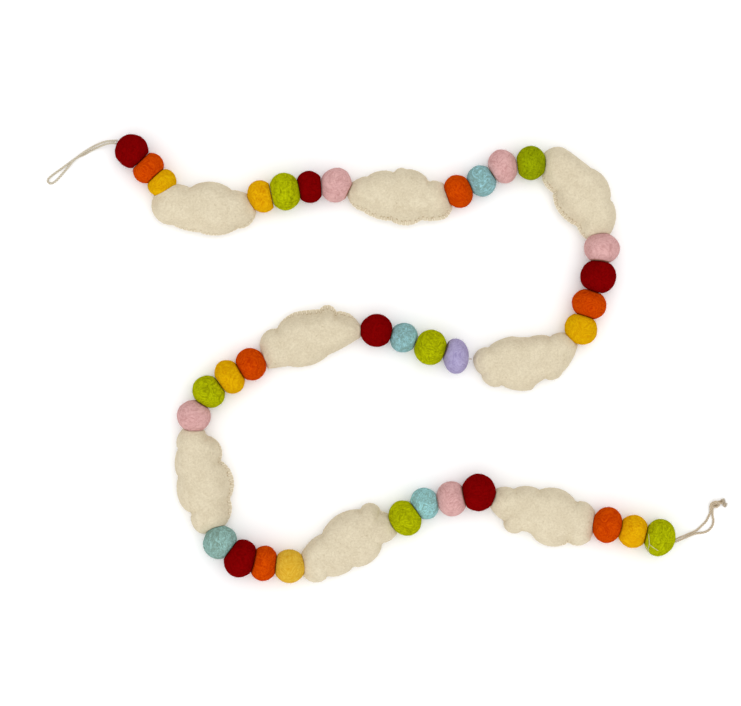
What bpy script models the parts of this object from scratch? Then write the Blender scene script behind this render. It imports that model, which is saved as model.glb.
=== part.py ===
"""A felt cloud garland: felt balls and stuffed clouds strung on one doubled cord and laid out flat.

The line winds four times over the surface. Three balls come first, then a cloud, then four balls
before each further cloud, and three balls come last. The cord shows at both ends: as a folded hanging
loop at the first ball, and as two strands tied in a knot at the last ball.

Places in the tables are millimetres on the sheet that the garland was laid out on, x to the right and
y down from the sheet's upper left corner. on_sheet() turns them into metres in the part's own frame:
+X to the right, +Y up the sheet and +Z up, with the origin under the middle of the strung pieces.
"""

import math
from collections import namedtuple

import bmesh
import bpy
from mathutils import Matrix, Vector

MM = 0.001
SHEET_CENTRE_X = 395.0
SHEET_CENTRE_Y = 358.5

# The photograph was taken from this high over this place, and measured in the plane this high up.
CAMERA_X = 370.5
CAMERA_Y = 353.0
CAMERA_HEIGHT = 3014.0
MEASURED_HEIGHT = 14.0

# Two pieces that touch keep this distance between their faces.
TOUCH_GAP = 0.3

# A ball rests on a flat spot, cut this high off its round underside.
BALL_FLAT_DEPTH = 0.6
BALL_SEGMENTS = 14
BALL_RINGS = 9

# The first cloud comes after three balls, and each later one after this many more.
BALLS_PER_CLOUD = 4

# Points along a cloud's outline are about this far apart.
OUTLINE_SPACING = 7.0

CORD_DIAMETER = 2.1
THREAD_DIAMETER = 1.0
# Distance along a cord from one ring of its tube to the next, in diameters.
CORD_STEP = 1.6
CORD_BEVEL_RESOLUTION = 2

FELT_ROUGHNESS = 0.95
CORD_ROUGHNESS = 0.85
COLOURS = {
    "dark_red": (0.195, 0.002, 0.004),
    "orange": (0.584, 0.064, 0.002),
    "yellow": (0.701, 0.386, 0.005),
    "lime": (0.366, 0.402, 0.003),
    "pink": (0.686, 0.386, 0.376),
    "blue": (0.246, 0.451, 0.445),
    "lavender": (0.407, 0.356, 0.565),
    "cream": (0.730, 0.651, 0.479),
    "cord": (0.578, 0.479, 0.350),
}

# across and along are the ball's sizes square to the cord and along it, before it is pressed flat
# against its neighbours.
Ball = namedtuple("Ball", "colour x y across along")
BALLS = (
    Ball("dark_red", 132.0, 151.2, 33.6, 34.0),
    Ball("orange", 148.6, 168.3, 33.0, 28.5),
    Ball("yellow", 162.1, 182.9, 30.4, 26.5),
    Ball("yellow", 261.7, 196.5, 33.4, 28.0),
    Ball("lime", 285.0, 191.8, 37.6, 32.5),
    Ball("dark_red", 309.5, 187.0, 32.5, 28.5),
    Ball("pink", 336.0, 185.3, 34.8, 32.0),
    Ball("orange", 458.3, 191.5, 33.6, 29.0),
    Ball("blue", 481.3, 181.0, 32.0, 29.0),
    Ball("pink", 502.8, 166.5, 34.4, 29.5),
    Ball("lime", 530.8, 163.1, 34.6, 30.4),
    Ball("pink", 601.5, 248.5, 36.0, 31.0),
    Ball("dark_red", 598.0, 276.5, 36.0, 34.5),
    Ball("orange", 588.8, 304.2, 35.4, 30.0),
    Ball("yellow", 580.9, 328.9, 33.6, 31.2),
    Ball("lavender", 455.8, 356.2, 35.5, 26.0),
    Ball("lime", 430.5, 347.5, 35.5, 32.5),
    Ball("blue", 403.8, 337.6, 30.0, 28.6),
    Ball("dark_red", 376.5, 330.5, 33.2, 32.6),
    Ball("orange", 251.0, 364.3, 33.2, 30.2),
    Ball("yellow", 229.8, 376.8, 36.0, 27.8),
    Ball("lime", 208.9, 391.8, 34.4, 31.2),
    Ball("pink", 194.0, 416.0, 34.0, 32.0),
    Ball("blue", 220.3, 542.1, 35.2, 33.0),
    Ball("dark_red", 241.0, 558.0, 39.0, 33.0),
    Ball("orange", 264.0, 563.2, 35.8, 29.0),
    Ball("yellow", 289.5, 566.0, 34.2, 32.0),
    Ball("lime", 405.0, 517.8, 37.2, 31.0),
    Ball("blue", 424.8, 503.4, 32.2, 29.0),
    Ball("pink", 451.5, 498.6, 35.2, 31.0),
    Ball("dark_red", 478.2, 492.4, 37.6, 35.0),
    Ball("orange", 607.0, 524.7, 36.4, 30.2),
    Ball("yellow", 633.0, 531.3, 33.2, 31.0),
    Ball("lime", 659.1, 537.4, 37.4, 31.8),
)

# A cloud's outline is a chain of arcs, clockwise on the sheet. Each arc starts at its own point, passes
# through a second one, and ends where the next arc starts. enter and leave are the middles of the faces
# where the balls before and after the cloud press on it.
Arc = namedtuple("Arc", "start through")
Cloud = namedtuple("Cloud", "enter leave arcs")
CLOUDS = (
    Cloud(
        enter=(167.0, 191.0),
        leave=(250.5, 205.0),
        arcs=(
            Arc((190.0, 186.6), (215.0, 181.3)),
            Arc((232.0, 189.4), (249.0, 196.6)),
            Arc((255.0, 213.0), (250.5, 223.6)),
            Arc((238.0, 228.6), (215.0, 235.6)),
            Arc((199.0, 232.2), (186.0, 230.4)),
            Arc((172.0, 225.2), (157.0, 219.8)),
            Arc((150.8, 207.0), (156.0, 192.8)),
            Arc((176.0, 184.4), (183.0, 184.6)),
        ),
    ),
    Cloud(
        enter=(347.8, 191.0),
        leave=(447.5, 195.5),
        arcs=(
            Arc((348.5, 192.0), (354.5, 181.2)),
            Arc((367.5, 175.4), (378.0, 170.4)),
            Arc((394.0, 171.4), (401.5, 166.8)),
            Arc((406.5, 168.2), (414.0, 169.0)),
            Arc((421.5, 172.4), (426.5, 176.6)),
            Arc((429.0, 180.8), (440.0, 181.4)),
            Arc((447.0, 197.0), (451.0, 208.6)),
            Arc((444.5, 218.6), (434.0, 220.4)),
            Arc((421.0, 220.0), (408.5, 224.8)),
            Arc((391.0, 220.4), (377.0, 218.2)),
            Arc((363.0, 211.0), (352.5, 204.6)),
        ),
    ),
    Cloud(
        enter=(545.3, 164.0),
        leave=(600.5, 234.5),
        arcs=(
            Arc((544.5, 170.0), (549.0, 148.6)),
            Arc((567.0, 148.2), (580.0, 157.2)),
            Arc((592.0, 167.0), (608.0, 180.6)),
            Arc((611.8, 199.0), (617.2, 215.0)),
            Arc((609.5, 233.5), (598.0, 238.5)),
            Arc((586.0, 238.5), (579.6, 231.0)),
            Arc((576.8, 225.6), (566.5, 219.8)),
            Arc((559.0, 211.6), (554.8, 203.0)),
            Arc((553.4, 192.2), (547.0, 187.0)),
        ),
    ),
    Cloud(
        enter=(570.5, 339.0),
        leave=(472.5, 359.0),
        arcs=(
            Arc((472.4, 359.0), (477.5, 350.0)),
            Arc((488.0, 346.4), (499.0, 339.2)),
            Arc((512.0, 335.5), (521.0, 336.3)),
            Arc((530.0, 336.1), (541.0, 334.2)),
            Arc((550.0, 335.5), (568.0, 335.0)),
            Arc((577.2, 347.0), (573.0, 360.0)),
            Arc((563.4, 373.0), (557.0, 379.6)),
            Arc((546.0, 379.8), (538.6, 384.0)),
            Arc((532.6, 390.6), (521.0, 391.6)),
            Arc((502.0, 386.4), (490.5, 386.6)),
            Arc((480.6, 375.0), (474.8, 368.0)),
        ),
    ),
    Cloud(
        enter=(360.3, 329.0),
        leave=(264.4, 358.6),
        arcs=(
            Arc((259.5, 344.0), (264.5, 332.0)),
            Arc((276.5, 328.2), (285.5, 317.2)),
            Arc((299.0, 311.4), (310.0, 310.6)),
            Arc((320.0, 309.2), (329.0, 305.4)),
            Arc((336.0, 312.0), (348.0, 313.5)),
            Arc((357.0, 323.0), (361.0, 330.0)),
            Arc((357.0, 339.0), (346.0, 346.5)),
            Arc((329.0, 355.2), (312.5, 365.4)),
            Arc((289.0, 366.8), (279.0, 368.2)),
            Arc((269.0, 369.0), (263.5, 356.0)),
        ),
    ),
    Cloud(
        enter=(195.0, 431.3),
        leave=(217.0, 527.5),
        arcs=(
            Arc((176.6, 449.0), (178.4, 433.4)),
            Arc((207.0, 435.8), (218.0, 441.8)),
            Arc((220.6, 460.6), (231.8, 474.6)),
            Arc((229.6, 498.8), (231.2, 511.0)),
            Arc((225.0, 523.6), (212.0, 532.0)),
            Arc((200.0, 534.0), (192.6, 527.6)),
            Arc((190.2, 514.0), (182.6, 508.6)),
            Arc((178.0, 500.6), (175.6, 489.0)),
            Arc((176.8, 477.6), (173.6, 463.0)),
        ),
    ),
    Cloud(
        enter=(304.0, 563.0),
        leave=(392.5, 525.0),
        arcs=(
            Arc((302.5, 573.5), (304.5, 548.0)),
            Arc((321.0, 533.4), (334.0, 516.6)),
            Arc((359.6, 508.6), (370.6, 502.4)),
            Arc((380.6, 511.2), (391.4, 518.0)),
            Arc((396.5, 534.0), (393.0, 539.0)),
            Arc((383.0, 544.5), (375.6, 559.6)),
            Arc((354.0, 568.1), (345.0, 574.6)),
            Arc((328.0, 577.8), (314.0, 583.4)),
        ),
    ),
    Cloud(
        enter=(493.0, 498.0),
        leave=(593.2, 523.0),
        arcs=(
            Arc((489.5, 501.0), (499.5, 487.8)),
            Arc((514.0, 488.2), (526.0, 485.4)),
            Arc((540.0, 489.0), (562.0, 489.0)),
            Arc((577.0, 501.0), (590.5, 504.4)),
            Arc((594.5, 514.0), (592.8, 528.0)),
            Arc((591.0, 540.4), (582.0, 545.9)),
            Arc((568.5, 542.8), (550.0, 547.3)),
            Arc((534.0, 539.2), (528.8, 534.0)),
            Arc((521.0, 532.8), (511.0, 534.0)),
            Arc((502.8, 521.4), (494.4, 513.4)),
        ),
    ),
)

# The stuffed form of every cloud, from the flat underside over the seam to the crown. inset is how far
# a ring has drawn in from the outline towards the cloud's spine, as a share of the way.
Ring = namedtuple("Ring", "inset height")
CLOUD_RINGS = (
    Ring(0.42, 0.0),
    Ring(0.12, 4.0),
    Ring(0.0, 10.0),
    Ring(0.02, 13.5),
    Ring(0.13, 20.5),
    Ring(0.36, 26.0),
    Ring(0.72, 28.5),
)

# Cord routes by hand: each point is x and y on the sheet, then the height of the cord's middle.
# The loop goes out along the upper strand, over the other one, round the eye, and back.
HANGING_LOOP_ROUTE = (
    (117.4, 140.6, 15.4),
    (110.6, 140.8, 13.4),
    (104.4, 141.8, 9.6),
    (98.2, 144.2, 6.0),
    (92.6, 147.2, 3.9),
    (87.4, 150.6, 3.6),
    (82.6, 153.8, 3.6),
    (77.8, 157.0, 3.6),
    (73.4, 160.4, 3.5),
    (69.9, 164.8, 2.6),
    (66.2, 169.4, 1.2),
    (62.4, 173.8, 1.1),
    (58.8, 178.0, 1.1),
    (55.2, 181.4, 1.1),
    (51.8, 183.4, 1.1),
    (48.8, 182.8, 1.1),
    (47.8, 180.2, 1.1),
    (50.0, 177.2, 1.1),
    (54.6, 173.6, 1.1),
    (59.6, 170.0, 1.1),
    (64.6, 166.4, 1.1),
    (69.4, 162.9, 1.1),
    (73.9, 159.7, 1.1),
    (78.4, 156.9, 1.1),
    (83.2, 154.2, 1.1),
    (88.2, 151.6, 1.1),
    (93.4, 149.0, 2.0),
    (99.0, 146.6, 5.0),
    (104.8, 144.4, 9.4),
    (110.8, 143.2, 13.4),
    (116.2, 143.3, 15.4),
)
UPPER_END_ROUTE = (
    (675.5, 539.4, 16.8),
    (680.0, 537.2, 13.6),
    (685.4, 534.8, 8.0),
    (690.2, 532.5, 3.4),
    (694.4, 530.4, 1.3),
    (698.2, 528.2, 1.1),
    (702.0, 525.0, 1.1),
    (705.6, 521.2, 1.1),
    (708.4, 516.8, 1.1),
    (709.9, 512.6, 1.5),
    (710.4, 508.4, 2.6),
)
LOWER_END_ROUTE = (
    (675.7, 541.8, 16.8),
    (680.6, 539.8, 13.6),
    (686.4, 537.2, 8.0),
    (691.4, 535.0, 3.4),
    (696.0, 533.5, 1.3),
    (700.6, 532.9, 1.1),
    (705.2, 532.0, 1.1),
    (709.6, 529.4, 1.1),
    (712.6, 525.2, 1.1),
    (713.6, 520.4, 1.1),
    (713.3, 515.6, 1.1),
    (712.9, 512.0, 1.5),
    (713.0, 508.8, 2.6),
)
TAIL_ROUTES = (
    ((720.9, 501.6, 2.8), (723.2, 500.2, 2.0), (725.6, 498.8, 1.2)),
    ((722.6, 504.4, 2.8), (725.4, 505.0, 1.9), (728.4, 505.6, 1.2)),
)
STRING_AT_CLOUD_4_ROUTE = ((469.4, 358.9, 14.5), (470.4, 359.0, 13.2), (471.6, 359.1, 12.0))

# The knot is a lump: its middle on the sheet, and its length, width and height.
KNOT_X = 715.4
KNOT_Y = 504.6
KNOT_LENGTH = 13.6
KNOT_WIDTH = 7.8
KNOT_HEIGHT = 6.8
KNOT_FLAT_DEPTH = 0.2
KNOT_SEGMENTS = 12
KNOT_RINGS = 8


def clear_scene():
    for item in list(bpy.data.objects):
        bpy.data.objects.remove(item, do_unlink=True)


def on_sheet(x, y, height=0.0):
    """The point at this place of the sheet and this height, in metres in the part's frame."""
    return Vector(((x - SHEET_CENTRE_X) * MM, (SHEET_CENTRE_Y - y) * MM, height * MM))


def seen_at(x, y, height):
    """The point at this height that the photograph shows at this place: what is low looks nearer its middle."""
    stretch = (CAMERA_HEIGHT - height) / (CAMERA_HEIGHT - MEASURED_HEIGHT)
    return on_sheet(CAMERA_X + (x - CAMERA_X) * stretch, CAMERA_Y + (y - CAMERA_Y) * stretch, height)


def felt_or_cord_material(name, roughness):
    material = bpy.data.materials.new(name)
    material.use_nodes = True
    shader = material.node_tree.nodes["Principled BSDF"]
    shader.inputs["Base Color"].default_value = (*COLOURS[name], 1.0)
    shader.inputs["Roughness"].default_value = roughness
    shader.inputs["Metallic"].default_value = 0.0
    material.diffuse_color = (*COLOURS[name], 1.0)
    return material


def add_object(name, data, material):
    data.materials.append(material)
    item = bpy.data.objects.new(name, data)
    garland.objects.link(item)
    return item


def finished_mesh(name, shape):
    """The closed shape as smooth-shaded mesh data, its faces turned outward."""
    bmesh.ops.remove_doubles(shape, verts=shape.verts, dist=0.02 * MM)
    bmesh.ops.recalc_face_normals(shape, faces=shape.faces)
    mesh = bpy.data.meshes.new(name)
    shape.to_mesh(mesh)
    shape.free()
    mesh.shade_smooth()
    mesh.set_sharp_from_angle(angle=math.radians(40.0))
    return mesh


def cut_flat(shape, point, outward):
    """Takes away what lies beyond a plane, and closes the cut with one flat face."""
    everything = shape.verts[:] + shape.edges[:] + shape.faces[:]
    cut = bmesh.ops.bisect_plane(
        shape, geom=everything, dist=0.001 * MM, plane_co=point, plane_no=outward, clear_outer=True
    )
    rim = [piece for piece in cut["geom_cut"] if isinstance(piece, bmesh.types.BMEdge)]
    if rim:
        bmesh.ops.edgeloop_fill(shape, edges=rim)


def ball_centre(ball):
    return on_sheet(ball.x, ball.y, ball.across / 2 - BALL_FLAT_DEPTH)


def neighbours(number):
    """What a ball touches before and after it: each is a Ball, a point of a cloud's face, or None."""
    before = BALLS[number - 2] if number > 1 else None
    after = BALLS[number] if number < len(BALLS) else None
    if number % BALLS_PER_CLOUD == 0:
        before = CLOUDS[number // BALLS_PER_CLOUD - 1].leave
    if (number + 1) % BALLS_PER_CLOUD == 0 and after:
        after = CLOUDS[(number + 1) // BALLS_PER_CLOUD - 1].enter
    return before, after


def contact_plane(ball, other):
    """The point and outward direction of the plane where a ball meets its neighbour.

    Two balls meet in the plane in which their round forms cross. A ball and a cloud meet at the middle
    of the cloud's face, square to the line from the ball's centre.
    """
    centre = ball_centre(ball)
    if not isinstance(other, Ball):
        face_middle = on_sheet(*other, ball.across / 2 - BALL_FLAT_DEPTH)
        return face_middle, (face_middle - centre).normalized()
    between = ball_centre(other) - centre
    own_half = ball.along / 2 * MM
    other_half = other.along / 2 * MM
    distance = between.length
    to_plane = (distance**2 + own_half**2 - other_half**2) / (2 * distance)
    outward = between.normalized()
    return centre + outward * to_plane, outward


def string_direction(number):
    """The level direction of the cord through a ball, from its neighbours on both sides."""
    ball = BALLS[number - 1]
    ends = []
    for other in neighbours(number):
        if isinstance(other, Ball):
            ends.append(on_sheet(other.x, other.y))
        elif other:
            ends.append(on_sheet(*other))
        else:
            ends.append(on_sheet(ball.x, ball.y))
    return (ends[1] - ends[0]).normalized()


def make_ball(number, materials):
    ball = BALLS[number - 1]
    centre = ball_centre(ball)
    direction = string_direction(number)
    turn = Matrix.Rotation(math.atan2(direction.y, direction.x), 4, "Z")
    # The sphere's poles lie on the cord, here along the ball's own X.
    poles_to_x = Matrix.Rotation(math.radians(90.0), 4, "Y")
    sizes = Matrix.Diagonal((ball.along / 2 * MM, ball.across / 2 * MM, ball.across / 2 * MM, 1.0))
    shape = bmesh.new()
    bmesh.ops.create_uvsphere(
        shape, u_segments=BALL_SEGMENTS, v_segments=BALL_RINGS, radius=1.0, matrix=sizes @ poles_to_x
    )
    planes = [contact_plane(ball, other) for other in neighbours(number) if other]
    planes = [(point - outward * TOUCH_GAP / 2 * MM, outward) for point, outward in planes]
    planes.append((Vector((centre.x, centre.y, 0.0)), Vector((0.0, 0.0, -1.0))))
    to_own = turn.inverted()
    for point, outward in planes:
        cut_flat(shape, to_own @ (point - centre), to_own @ outward)
    name = f"ball_{number:02d}"
    item = add_object(name, finished_mesh(name, shape), materials[ball.colour])
    item.location = centre
    item.rotation_euler = (0.0, 0.0, math.atan2(direction.y, direction.x))


def arc_points(start, through, end):
    """Points along the arc through three places, from its start up to but without its end."""
    a, b, c = Vector(start), Vector(through), Vector(end)
    turn = (b - a).cross(c - a)
    chord = c - a
    if abs(turn) < 0.02 * chord.length_squared:
        steps = max(1, round(chord.length / OUTLINE_SPACING))
        return [a + chord * step / steps for step in range(steps)]
    # The circle's centre lies on the middle lines of both chords.
    to_b, to_c = b - a, c - a
    centre = a + Vector(
        (
            (to_c.y * to_b.length_squared - to_b.y * to_c.length_squared) / (2 * turn),
            (to_b.x * to_c.length_squared - to_c.x * to_b.length_squared) / (2 * turn),
        )
    )
    spoke = a - centre
    angle = math.atan2(spoke.cross(c - centre), spoke.dot(c - centre))
    if angle * turn < 0:
        angle += math.copysign(2 * math.pi, turn)
    steps = max(2, round(abs(angle) * spoke.length / OUTLINE_SPACING))
    return [centre + Matrix.Rotation(angle * step / steps, 2) @ spoke for step in range(steps)]


def cloud_outline(cloud):
    outline = []
    for number, arc in enumerate(cloud.arcs):
        following = cloud.arcs[(number + 1) % len(cloud.arcs)]
        outline += arc_points(arc.start, arc.through, following.start)
    return [on_sheet(*place) for place in outline]


def spine_points(outline, enter, leave):
    """For each point of the outline, the nearest one on the cloud's spine, from which its rings swell."""
    middle = sum(outline, Vector()) / len(outline)
    along = (leave - enter).normalized()
    aside = Vector((-along.y, along.x, 0.0))
    half_length = max(abs((point - middle).dot(along)) for point in outline)
    half_width = max(abs((point - middle).dot(aside)) for point in outline)
    half_spine = half_length - half_width
    spine = []
    for point in outline:
        reach = (point - middle).dot(along)
        spine.append(middle + along * max(-half_spine, min(half_spine, reach)))
    return spine


def make_cloud(number, material):
    cloud = CLOUDS[number - 1]
    outline = cloud_outline(cloud)
    enter, leave = on_sheet(*cloud.enter), on_sheet(*cloud.leave)
    spine = spine_points(outline, enter, leave)
    middle = (enter + leave) / 2
    shape = bmesh.new()
    rings = []
    for ring in CLOUD_RINGS:
        height = Vector((0.0, 0.0, ring.height * MM))
        places = [edge.lerp(core, ring.inset) + height - middle for edge, core in zip(outline, spine)]
        rings.append([shape.verts.new(place) for place in places])
    for lower, upper in zip(rings, rings[1:]):
        for index in range(len(outline)):
            shape.faces.new((lower[index - 1], lower[index], upper[index], upper[index - 1]))
    shape.faces.new(rings[0])
    shape.faces.new(rings[-1])
    ball_before = BALLS[number * BALLS_PER_CLOUD - 2]
    ball_after = BALLS[number * BALLS_PER_CLOUD - 1]
    for ball, face_middle in ((ball_before, cloud.enter), (ball_after, cloud.leave)):
        point, from_ball = contact_plane(ball, face_middle)
        cut_flat(shape, point + from_ball * TOUCH_GAP / 2 * MM - middle, -from_ball)
    name = f"cloud_{number}"
    item = add_object(name, finished_mesh(name, shape), material)
    item.location = middle


def smooth_route(route, step):
    """Points a step apart on a smooth curve through all the points of a route."""
    places = [seen_at(*point) for point in route]
    padded = [2 * places[0] - places[1], *places, 2 * places[-1] - places[-2]]
    fine_steps = 24
    fine = []
    for p0, p1, p2, p3 in zip(padded, padded[1:], padded[2:], padded[3:]):
        for count in range(fine_steps):
            t = count / fine_steps
            fine.append(
                0.5 * (2 * p1 + (p2 - p0) * t + (2 * p0 - 5 * p1 + 4 * p2 - p3) * t**2 + (3 * p1 - p0 - 3 * p2 + p3) * t**3)
            )
    fine.append(places[-1])
    lengths = [0.0]
    for before, after in zip(fine, fine[1:]):
        lengths.append(lengths[-1] + (after - before).length)
    count = max(2, round(lengths[-1] / step))
    points = []
    index = 0
    for number in range(count + 1):
        target = lengths[-1] * number / count
        while index < len(fine) - 2 and lengths[index + 1] < target:
            index += 1
        share = (target - lengths[index]) / (lengths[index + 1] - lengths[index])
        points.append(fine[index].lerp(fine[index + 1], min(1.0, share)))
    return points


def make_cord(name, route, diameter, material):
    points = smooth_route(route, CORD_STEP * diameter * MM)
    curve = bpy.data.curves.new(name, "CURVE")
    curve.dimensions = "3D"
    curve.bevel_depth = diameter / 2 * MM
    curve.bevel_resolution = CORD_BEVEL_RESOLUTION
    curve.use_fill_caps = True
    spline = curve.splines.new("POLY")
    spline.points.add(len(points) - 1)
    for spline_point, place in zip(spline.points, points):
        spline_point.co = (*(place - points[0]), 1.0)
    item = add_object(name, curve, material)
    item.location = points[0]


def make_knot(material):
    shape = bmesh.new()
    sizes = Matrix.Diagonal((KNOT_LENGTH / 2 * MM, KNOT_WIDTH / 2 * MM, KNOT_HEIGHT / 2 * MM, 1.0))
    bmesh.ops.create_uvsphere(
        shape, u_segments=KNOT_SEGMENTS, v_segments=KNOT_RINGS, radius=1.0, matrix=sizes
    )
    centre = seen_at(KNOT_X, KNOT_Y, KNOT_HEIGHT / 2 - KNOT_FLAT_DEPTH)
    cut_flat(shape, Vector((0.0, 0.0, -centre.z)), Vector((0.0, 0.0, -1.0)))
    item = add_object("end_knot", finished_mesh("end_knot", shape), material)
    item.location = centre


clear_scene()
garland = bpy.data.collections.new("felt_cloud_garland")
bpy.context.scene.collection.children.link(garland)

felts = {name: felt_or_cord_material(name, FELT_ROUGHNESS) for name in COLOURS if name != "cord"}
cord_material = felt_or_cord_material("cord", CORD_ROUGHNESS)

for ball_number in range(1, len(BALLS) + 1):
    make_ball(ball_number, felts)
for cloud_number in range(1, len(CLOUDS) + 1):
    make_cloud(cloud_number, felts["cream"])

make_cord("hanging_loop", HANGING_LOOP_ROUTE, CORD_DIAMETER, cord_material)
make_cord("end_cord_upper", UPPER_END_ROUTE, CORD_DIAMETER, cord_material)
make_cord("end_cord_lower", LOWER_END_ROUTE, CORD_DIAMETER, cord_material)
make_knot(cord_material)
for tail_number, tail_route in enumerate(TAIL_ROUTES, start=1):
    make_cord(f"knot_tail_{tail_number}", tail_route, CORD_DIAMETER, cord_material)
make_cord("string_at_cloud_4", STRING_AT_CLOUD_4_ROUTE, THREAD_DIAMETER, cord_material)
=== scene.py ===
import math

import bmesh
import bpy
from mathutils import Matrix, Vector, noise


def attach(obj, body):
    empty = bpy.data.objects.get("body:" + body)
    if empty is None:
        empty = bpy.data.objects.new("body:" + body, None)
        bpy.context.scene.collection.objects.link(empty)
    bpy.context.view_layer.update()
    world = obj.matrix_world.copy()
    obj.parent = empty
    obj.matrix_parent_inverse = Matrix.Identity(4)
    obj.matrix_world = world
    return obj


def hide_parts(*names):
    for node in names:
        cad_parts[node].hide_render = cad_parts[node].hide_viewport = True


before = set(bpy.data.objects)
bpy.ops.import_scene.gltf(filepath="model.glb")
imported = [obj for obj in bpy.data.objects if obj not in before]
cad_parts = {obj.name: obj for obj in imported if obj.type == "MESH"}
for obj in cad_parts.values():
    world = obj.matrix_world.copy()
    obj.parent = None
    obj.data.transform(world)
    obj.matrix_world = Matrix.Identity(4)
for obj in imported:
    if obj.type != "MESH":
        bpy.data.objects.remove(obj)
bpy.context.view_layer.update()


# Camera. The garland lies on a white sheet and is seen from straight above. Places are millimetres on
# that sheet, x to the right and y down, as in the part's source, and on_sheet() turns them into metres.
MM = 0.001
SHEET_CENTRE_X = 395.0
SHEET_CENTRE_Y = 358.5
VIEW_MIDDLE = (370.5, 353.0)
VIEW_WIDTH = 741.0
CAMERA_HEIGHT = 3014.0
FOCUS_HEIGHT = 14.0
SENSOR_WIDTH = 36.0


def on_sheet(x, y, height=0.0):
    """The point at this place of the sheet and this height, in metres."""
    return Vector(((x - SHEET_CENTRE_X) * MM, (SHEET_CENTRE_Y - y) * MM, height * MM))


def seen_at(x, y, height):
    """The point at this height that the photo shows at this place: what is low looks nearer its middle."""
    stretch = (CAMERA_HEIGHT - height) / (CAMERA_HEIGHT - FOCUS_HEIGHT)
    middle_x, middle_y = VIEW_MIDDLE
    return on_sheet(middle_x + (x - middle_x) * stretch, middle_y + (y - middle_y) * stretch, height)


camera_data = bpy.data.cameras.new("camera")
camera_data.sensor_width = SENSOR_WIDTH
camera_data.lens = SENSOR_WIDTH * (CAMERA_HEIGHT - FOCUS_HEIGHT) / VIEW_WIDTH
camera = bpy.data.objects.new("camera", camera_data)
camera.location = on_sheet(*VIEW_MIDDLE, CAMERA_HEIGHT)
bpy.context.scene.collection.objects.link(camera)
bpy.context.scene.camera = camera


# Cord. A beige cotton twine of three plies, folded in two and threaded through every piece with a long
# needle. The fold sticks out at the first ball as a hanging loop, and both strands leave the last one.
CORD_DIAMETER = 2.1
CORD_PLIES = 3
# The length in which the plies go once round each other.
CORD_TURN = 8.1
CORD_SIDES = 24
CORD_RING_STEP = 0.42
# A ply's middle lies this far out, and its own radius is this much, as shares of the twine's radius.
PLY_OFFSET = 0.5
PLY_RADIUS = 0.5
# The crowns of the plies stand this much further out than half the diameter that a rule would measure.
PLY_SPREAD = 1.1
# The dark colours show in random patches and as painted shade in the grooves between the plies.
CORD_LIGHT = (0.77, 0.67, 0.52, 1.0)
CORD_DARK = (0.36, 0.27, 0.17, 1.0)
LOOP_LIGHT = (0.74, 0.69, 0.57, 1.0)
LOOP_DARK = (0.44, 0.38, 0.28, 1.0)
# A groove this deep, as a share of the radius, gets the darkest painted shade.
GROOVE_DEPTH = 0.34
# Fibres for each square millimetre, their length and radius, and their least lean in radians.
CORD_FUZZ = (0.5, 0.9, 0.025, 0.5)

# Each point is x and y on the sheet, then the height of the cord's middle.
HANGING_LOOP_ROUTE = (
    (117.4, 140.6, 15.4), (110.6, 140.8, 13.4), (104.4, 141.8, 9.6), (98.2, 144.2, 6),
    (92.5, 147, 3.9), (87.2, 150.2, 3.6), (82.3, 153.4, 3.6), (77.8, 156.9, 3.6),
    (73.4, 160.4, 3.5), (69.9, 164.8, 2.6), (66.2, 169.4, 1.2), (62.4, 173.8, 1.1),
    (58.8, 178, 1.1), (55.2, 181.4, 1.1), (51.8, 183.4, 1.1), (48.8, 182.8, 1.1),
    (47.8, 180.2, 1.1), (50, 177.2, 1.1), (54.6, 173.6, 1.1), (59.6, 170, 1.1),
    (64.6, 166.4, 1.1), (69.4, 162.9, 1.1), (73.9, 159.7, 1.1), (78.4, 156.9, 1.1),
    (83.6, 154.9, 1.1), (88.5, 152.1, 1.1), (93.6, 149.3, 2), (99.1, 146.8, 5),
    (104.8, 144.4, 9.4), (110.8, 143.2, 13.4), (116.2, 143.3, 15.4),
)
UPPER_END_ROUTE = (
    (675.5, 539.4, 16.8), (680.1, 537.4, 13.6), (685.6, 535.2, 8), (690.5, 533.2, 3.4),
    (694.8, 531.4, 1.3), (698.2, 529, 1.1), (702, 525.4, 1.1), (705.8, 521.5, 1.1),
    (708.4, 516.8, 1.1), (710.2, 512.6, 1.5), (710.6, 508.4, 2.6),
)
LOWER_END_ROUTE = (
    (675.7, 541.8, 16.8), (680.6, 539.8, 13.6), (686.4, 537.2, 8), (691.4, 535, 3.4),
    (696, 533.5, 1.3), (700.6, 532.9, 1.1), (705.2, 532, 1.1), (709.6, 529.4, 1.1),
    (712.5, 525.2, 1.1), (713.4, 520.4, 1.1), (712.6, 516.2, 1.1), (712.4, 512.4, 1.5),
    (712.6, 508.8, 2.6),
)


def smooth_route(places, step):
    """Points about a step apart on a smooth curve through all the places."""
    padded = [2 * places[0] - places[1], *places, 2 * places[-1] - places[-2]]
    fine_steps = 24
    fine = []
    for p0, p1, p2, p3 in zip(padded, padded[1:], padded[2:], padded[3:]):
        linear = p2 - p0
        square = 2 * p0 - 5 * p1 + 4 * p2 - p3
        cube = 3 * p1 - p0 - 3 * p2 + p3
        for count in range(fine_steps):
            t = count / fine_steps
            fine.append(0.5 * (2 * p1 + linear * t + square * t**2 + cube * t**3))
    fine.append(places[-1])
    return even_points(fine, step)


def even_points(line, step):
    """Points about a step apart along an open line, its two ends among them."""
    lengths = [0.0]
    for before, after in zip(line, line[1:]):
        lengths.append(lengths[-1] + (after - before).length)
    count = max(2, round(lengths[-1] / step))
    points = []
    index = 0
    for number in range(count + 1):
        target = lengths[-1] * number / count
        while index < len(line) - 2 and lengths[index + 1] < target:
            index += 1
        share = (target - lengths[index]) / (lengths[index + 1] - lengths[index])
        points.append(line[index].lerp(line[index + 1], min(1.0, share)))
    return points


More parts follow.
